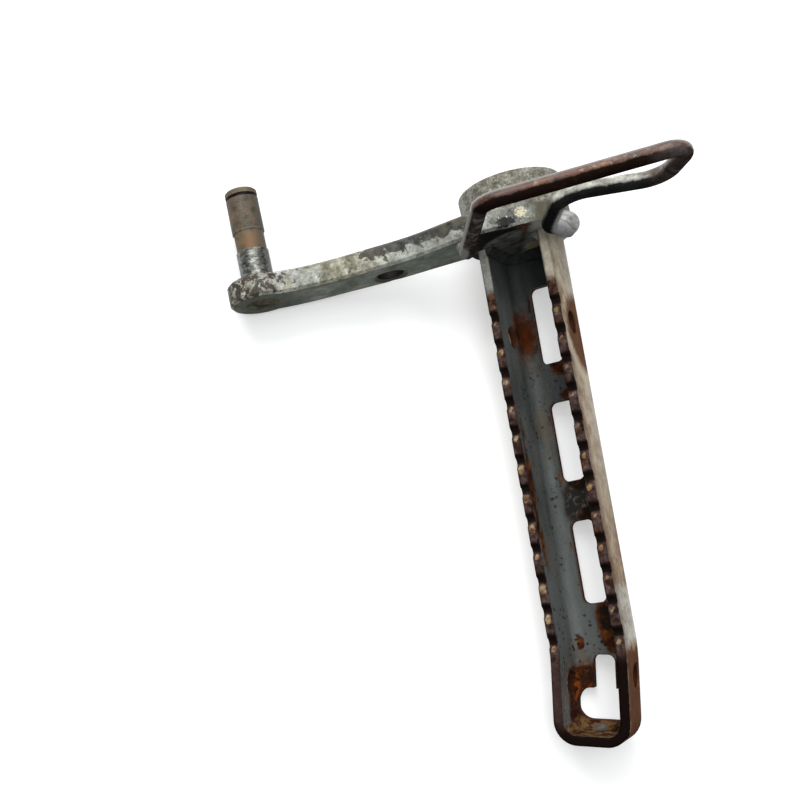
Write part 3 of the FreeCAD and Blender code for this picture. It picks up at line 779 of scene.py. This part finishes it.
weld_tones = ((0.32, (0.13, 0.125, 0.122)), (0.5, (0.26, 0.256, 0.252)), (0.68, (0.38, 0.376, 0.37)))
dirty_tones = ((0.36, (0.014, 0.011, 0.009)), (0.5, (0.045, 0.037, 0.030)), (0.66, (0.15, 0.138, 0.122)))
weld_underside_shade = (0.035, 0.034, 0.031)
rubbed_pale = (0.33, 0.325, 0.305)

weld_finish, n, shader = new_finish("bare weld mound")
place = n.place()
tone = n.noise(place, 2.0, 5, 0.6)
colour = n.ramp(tone, *weld_tones)
facing = n.facing()
# painted shade: darker where the mound faces down
colour = n.mix(n.span(facing["Z"], 0.2, -0.4), colour, weld_underside_shade, 0.7)
on_bar = n.span(n.along(place, (0, 0, 0), (1, 0, 0)), 90, 88)
dirty = n.ramp(tone, *dirty_tones)
rubbed = n.span(n.shift(facing["X"], n.wobble(place, 2, 0.6)), -0.35, -0.75)
colour = n.mix(on_bar, colour, n.mix(rubbed, dirty, rubbed_pale, 0.85))
n.feed(shader.inputs["Base Color"], colour)
n.feed(shader.inputs["Roughness"], 0.46)
n.feed(shader.inputs["Specular IOR Level"], n.blend(on_bar, 0.4, 0.0))
n.relief(shader, tone, 0.3, 0.35, edge=0.6)
for weld in ("guard_weld_arm", "guard_weld_boss"):
    dress(weld, weld_finish)

# Studio
# White floor under soft light from above and behind, seen from steeply above as in the photograph.
# The floor glows to the camera and in reflections, the sky brightens to the camera alone, so both
# look white without lighting the part any more.

floor_half = 12.0
floor_grey = (0.60, 0.61, 0.61)
floor_glow_near, floor_glow_far = 0.45, 0.87
sky_blue = (0.95, 0.97, 1.0)
sky_light, sky_seen = 0.22, 1.05

bm = bmesh.new()
bmesh.ops.create_grid(bm, x_segments=1, y_segments=1, size=floor_half)
bmesh.ops.translate(bm, verts=bm.verts, vec=(0, 0, cad_low.z))
floor_mesh = bpy.data.meshes.new("floor")
bm.to_mesh(floor_mesh)
bm.free()
floor = bpy.data.objects.new("floor", floor_mesh)
bpy.context.scene.collection.objects.link(floor)
floor_finish, n, shader = new_finish("white floor")
n.feed(shader.inputs["Base Color"], floor_grey)
n.feed(shader.inputs["Roughness"], 0.8)
path = n.add("ShaderNodeLightPath").outputs
seen = n.any_of(path["Is Camera Ray"], path["Is Glossy Ray"], path["Is Transmission Ray"])
n.feed(shader.inputs["Emission Color"], (1.0, 1.0, 1.0))
level = n.add("ShaderNodeVectorMath", {0: n.place(), 1: (1.0, 1.0, 0.0)}, operation="MULTIPLY")
away = n.add("ShaderNodeVectorMath", {0: level.outputs[0]}, operation="LENGTH").outputs["Value"]
glow = n.blend(n.span(away, 0.4, 1.6), floor_glow_near, floor_glow_far)
n.feed(shader.inputs["Emission Strength"], n.times(seen, glow))
floor.data.materials.append(floor_finish)

world = bpy.data.worlds.new("studio")
bpy.context.scene.world = world
world.use_nodes = True
n = Nodes(world.node_tree)
sky = world.node_tree.nodes["Background"]
seen = n.add("ShaderNodeLightPath").outputs["Is Camera Ray"]
n.feed(sky.inputs["Color"], sky_blue)
n.feed(sky.inputs["Strength"], n.blend(seen, sky_light, sky_seen))


def add_lamp(name, place, target, size, power):
    lamp = bpy.data.lights.new(name, "AREA")
    lamp.shape = "SQUARE"
    lamp.size = size
    lamp.energy = power
    holder = bpy.data.objects.new(name, lamp)
    holder.location = place
    holder.rotation_euler = (Vector(target) - Vector(place)).to_track_quat("-Z", "Y").to_euler()
    bpy.context.scene.collection.objects.link(holder)


middle = Vector((0.06, -0.07, 0.0))
add_lamp("window behind", (0.0, 0.75, 0.85), middle, 0.8, 14.0)
add_lamp("overhead", (0.25, 0.05, 1.2), middle, 0.9, 11.0)

camera = bpy.data.objects.new("camera", bpy.data.cameras.new("camera"))
camera.data.lens = 50
camera.data.sensor_width = 36
camera_elevation = math.radians(79)
camera_heading = math.radians(12.42)
camera.location = (0.02503, -0.12935, 0.39473)
camera.rotation_euler = (math.pi / 2 - camera_elevation, 0, -camera_heading)
camera.data.clip_start = 0.01
bpy.context.scene.collection.objects.link(camera)
bpy.context.scene.camera = camera
bpy.context.scene.view_settings.view_transform = "Standard"
